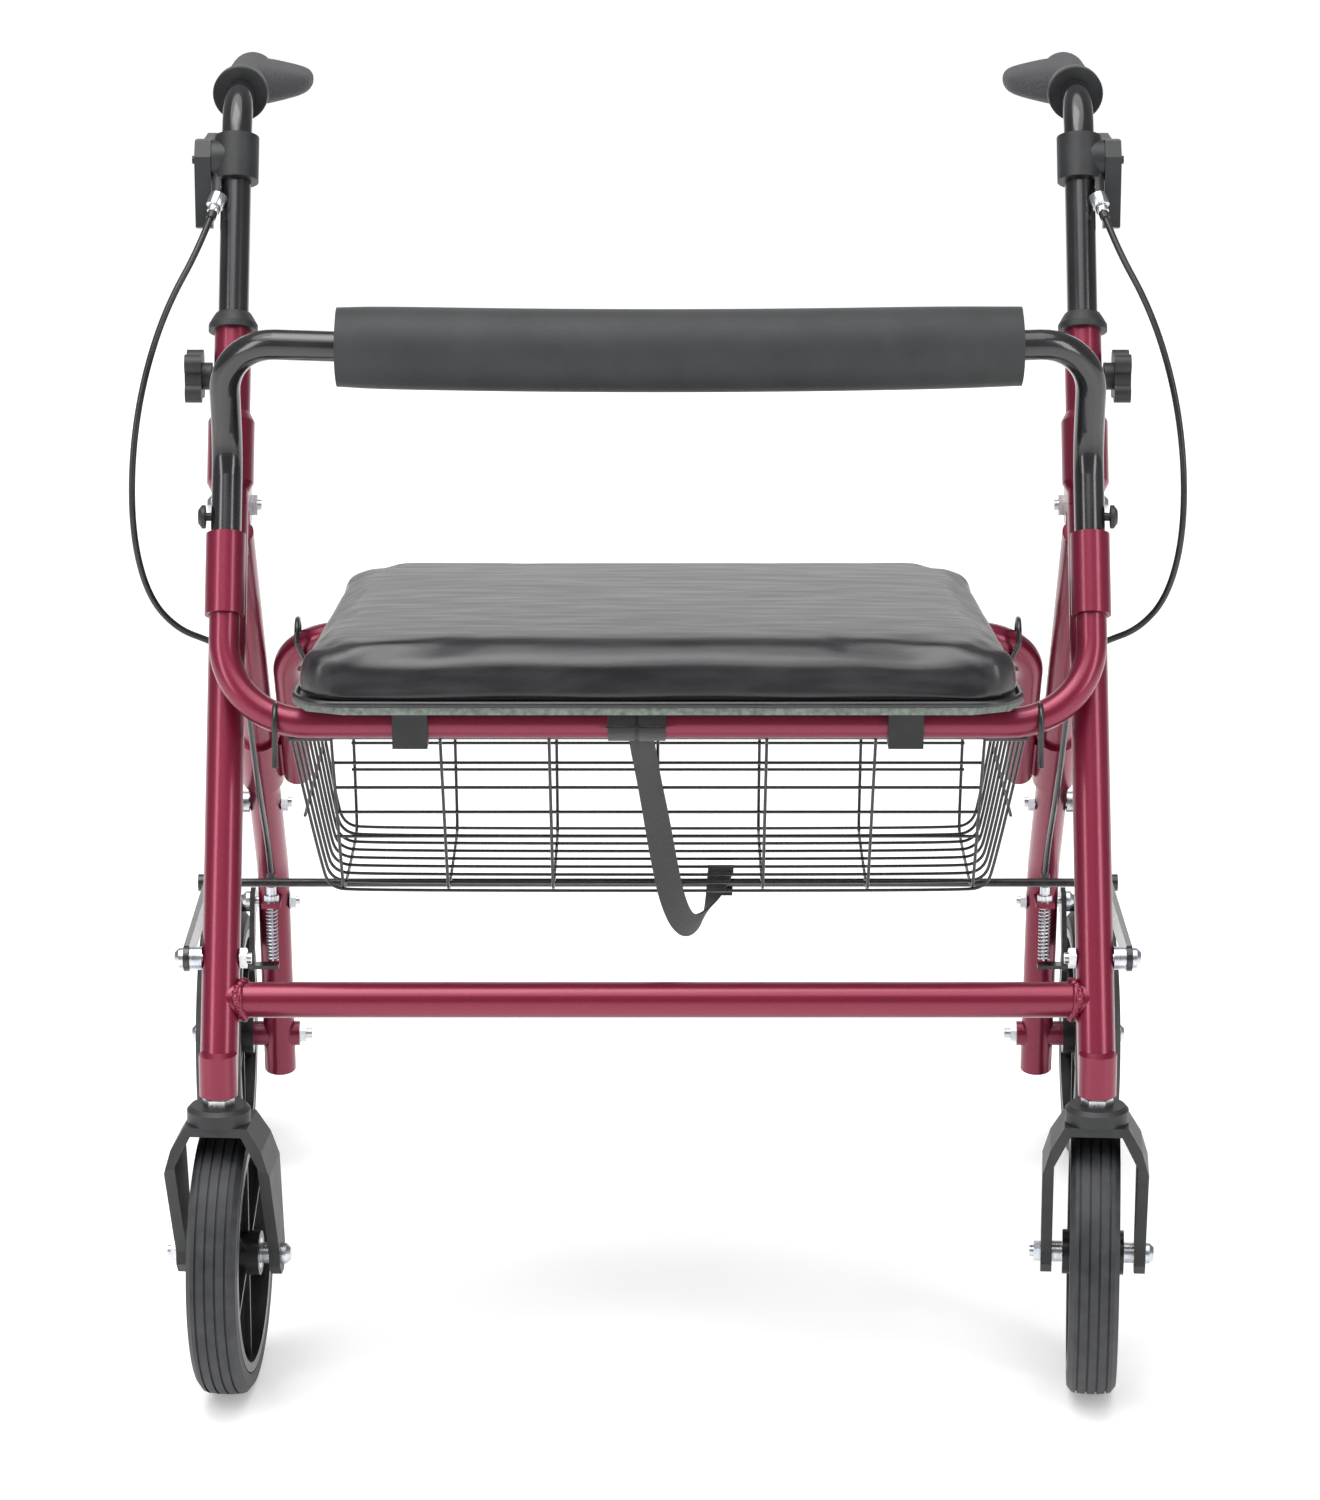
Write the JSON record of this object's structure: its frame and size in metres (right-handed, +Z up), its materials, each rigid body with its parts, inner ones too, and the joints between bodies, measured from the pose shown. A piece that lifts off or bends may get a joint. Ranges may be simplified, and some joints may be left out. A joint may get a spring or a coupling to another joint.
{
  "type": "folding wheeled walker with seat",
  "caption": "Folding wheeled walker with padded seat, foam back bar, wire basket, height-adjustable handles and hand brakes.",
  "frame": {"origin": "on the floor under the middle of the walker's box", "axes": "+Z up, +Y towards the user behind the walker, +X to the right seen from the front"},
  "size_m": [0.767, 0.7343, 0.915],
  "materials": {
    "red_frame": "metallic candy red",
    "black_tube": "gloss black",
    "zinc": "bright zinc",
    "black_plastic": "moulded",
    "tyre": "matt",
    "grip": "grained",
    "foam": "closed-cell foam",
    "vinyl": "black vinyl",
    "board": "pressed board",
    "wire": "black coated wire",
    "webbing": "black webbing",
    "cable": "cable sheath"
  },
  "bodies": {
    "frame": {"left_upright": "red_frame", "right_upright": "red_frame", "cross_tube": "red_frame", "front_seat_rail": "red_frame", "basket": "wire", "upright_collars": "black_plastic", "frame_bolts": "zinc", "frame_nuts": "zinc", "left_upper_cable": "cable", "right_upper_cable": "cable"},
    "rear_frame": {"left_rear_leg": "red_frame", "right_rear_leg": "red_frame", "rear_seat_rail": "red_frame", "rear_bolts": "zinc", "rear_nuts": "zinc", "left_cable_adjuster": "zinc", "right_cable_adjuster": "zinc", "left_brake_spring": "zinc", "right_brake_spring": "zinc", "left_lower_cable": "cable", "right_lower_cable": "cable"},
    "front_links": {"front_links": "wire", "fold_rod": "wire", "lift_strap": "webbing"},
    "rear_links": {"rear_links": "wire"},
    "seat": {"seat_pad": "vinyl", "seat_board": "board", "seat_clips": "black_plastic"},
    "backrest": {"back_tube": "black_tube", "back_foam": "foam"},
    "left_caster": {"left_fork": "black_plastic", "left_caster_bolts": "zinc"},
    "left_front_wheel": {"left_front_tyre": "tyre", "left_front_rim": "black_plastic", "left_front_bearings": "zinc"},
    "left_rear_wheel": {"left_rear_tyre": "tyre", "left_rear_rim": "black_plastic", "left_rear_bearings": "zinc"},
    "left_handle": {"left_handle_tube": "black_tube", "left_grip": "grip", "left_brake_clamp": "black_plastic"},
    "left_brake_lever": {"left_brake_lever": "black_plastic"},
    "left_height_knob": {"left_height_knob": "black_plastic"},
    "left_brake_arm": {"left_brake_arm": "wire"},
    "left_back_button": {"left_back_button": "black_plastic"},
    "right_caster": {"right_fork": "black_plastic", "right_caster_bolts": "zinc"},
    "right_front_wheel": {"right_front_tyre": "tyre", "right_front_rim": "black_plastic", "right_front_bearings": "zinc"},
    "right_rear_wheel": {"right_rear_tyre": "tyre", "right_rear_rim": "black_plastic", "right_rear_bearings": "zinc"},
    "right_handle": {"right_handle_tube": "black_tube", "right_grip": "grip", "right_brake_clamp": "black_plastic"},
    "right_brake_lever": {"right_brake_lever": "black_plastic"},
    "right_height_knob": {"right_height_knob": "black_plastic"},
    "right_brake_arm": {"right_brake_arm": "wire"},
    "right_back_button": {"right_back_button": "black_plastic"}
  },
  "joints": [
    {"name": "stay_lift", "type": "hinge", "parent": "frame", "child": "front_links", "pos_m": [0, -0.26101, 0.32032], "axis": [1, 0, 0], "range_deg": [0, 1.34], "deforming": ["lift_strap"]},
    {"name": "fold", "type": "hinge", "parent": "frame", "child": "rear_frame", "pos_m": [0, -0.07901, 0.61142], "axis": [1, 0, 0], "range_deg": [-0.02, 0], "deforming": ["left_lower_cable", "right_lower_cable"]},
    {"name": "rear_stay_turn", "type": "hinge", "parent": "rear_frame", "child": "rear_links", "pos_m": [0, 0.17059, 0.32225], "axis": [1, 0, 0], "range_deg": [-1.12, 0]},
    {"name": "seat_lift", "type": "hinge", "parent": "frame", "child": "seat", "pos_m": [0, -0.21105, 0.48005], "axis": [1, 0, 0], "range_deg": [0, 55]},
    {"name": "backrest_lift", "type": "slide", "parent": "frame", "child": "backrest", "axis": [0, 0.454, 0.891], "range_m": [0, 0.04]},
    {"name": "left_caster_swivel", "type": "hinge", "parent": "frame", "child": "left_caster", "pos_m": [-0.31, -0.3055, 0.214], "axis": [0, 0, 1], "continuous": true},
    {"name": "left_front_wheel_spin", "type": "hinge", "parent": "left_caster", "child": "left_front_wheel", "pos_m": [-0.30721, -0.2656, 0.1016], "axis": [0.9976, -0.0698, 0], "continuous": true},
    {"name": "left_rear_wheel_spin", "type": "hinge", "parent": "rear_frame", "child": "left_rear_wheel", "pos_m": [-0.3525, 0.2655, 0.1016], "axis": [1, 0, 0], "continuous": true},
    {"name": "left_handle_height", "type": "slide", "parent": "frame", "child": "left_handle", "axis": [0, 0.454, 0.891], "range_m": [-0.075, 0.025], "deforming": ["left_upper_cable"]},
    {"name": "left_brake_squeeze", "type": "hinge", "parent": "left_handle", "child": "left_brake_lever", "pos_m": [-0.333, 0.01002, 0.85225], "axis": [1, 0, 0], "range_deg": [0, 8], "stiffness_Nm_per_rad": 3, "springref_deg": -8.59},
    {"name": "left_brake_press", "type": "hinge", "parent": "rear_frame", "child": "left_brake_arm", "pos_m": [-0.327, 0.23932, 0.222], "axis": [1, 0, 0], "range_deg": [-4, 0]},
    {"name": "left_knob_turn", "type": "hinge", "parent": "frame", "child": "left_height_knob", "pos_m": [-0.335, -0.06534, 0.70434], "axis": [1, 0, 0], "continuous": true},
    {"name": "left_back_button_press", "type": "slide", "parent": "backrest", "child": "left_back_button", "axis": [1, 0, 0], "range_m": [0, 0.004], "stiffness_N_per_m": 400, "springref_m": -0.004},
    {"name": "right_caster_swivel", "type": "hinge", "parent": "frame", "child": "right_caster", "pos_m": [0.31, -0.3055, 0.214], "axis": [0, 0, 1], "continuous": true},
    {"name": "right_front_wheel_spin", "type": "hinge", "parent": "right_caster", "child": "right_front_wheel", "pos_m": [0.31279, -0.2656, 0.1016], "axis": [0.9976, -0.0698, 0], "continuous": true},
    {"name": "right_rear_wheel_spin", "type": "hinge", "parent": "rear_frame", "child": "right_rear_wheel", "pos_m": [0.3525, 0.2655, 0.1016], "axis": [1, 0, 0], "continuous": true},
    {"name": "right_handle_height", "type": "slide", "parent": "frame", "child": "right_handle", "axis": [0, 0.454, 0.891], "range_m": [-0.075, 0.025], "deforming": ["right_upper_cable"]},
    {"name": "right_brake_squeeze", "type": "hinge", "parent": "right_handle", "child": "right_brake_lever", "pos_m": [0.333, 0.01002, 0.85225], "axis": [1, 0, 0], "range_deg": [0, 8], "stiffness_Nm_per_rad": 3, "springref_deg": -8.59},
    {"name": "right_brake_press", "type": "hinge", "parent": "rear_frame", "child": "right_brake_arm", "pos_m": [0.327, 0.23932, 0.222], "axis": [1, 0, 0], "range_deg": [-4, 0]},
    {"name": "right_knob_turn", "type": "hinge", "parent": "frame", "child": "right_height_knob", "pos_m": [0.335, -0.06534, 0.70434], "axis": [1, 0, 0], "continuous": true},
    {"name": "right_back_button_press", "type": "slide", "parent": "backrest", "child": "right_back_button", "axis": [-1, 0, 0], "range_m": [0, 0.004], "stiffness_N_per_m": 400, "springref_m": -0.004}
  ],
  "couplings": [
    {"joint": "fold", "follows": "stay_lift", "ratio": -0.014814},
    {"joint": "rear_stay_turn", "follows": "stay_lift", "ratio": -0.83906},
    {"joint": "left_brake_press", "follows": "left_brake_squeeze", "ratio": -0.5},
    {"joint": "right_brake_press", "follows": "right_brake_squeeze", "ratio": -0.5}
  ]
}
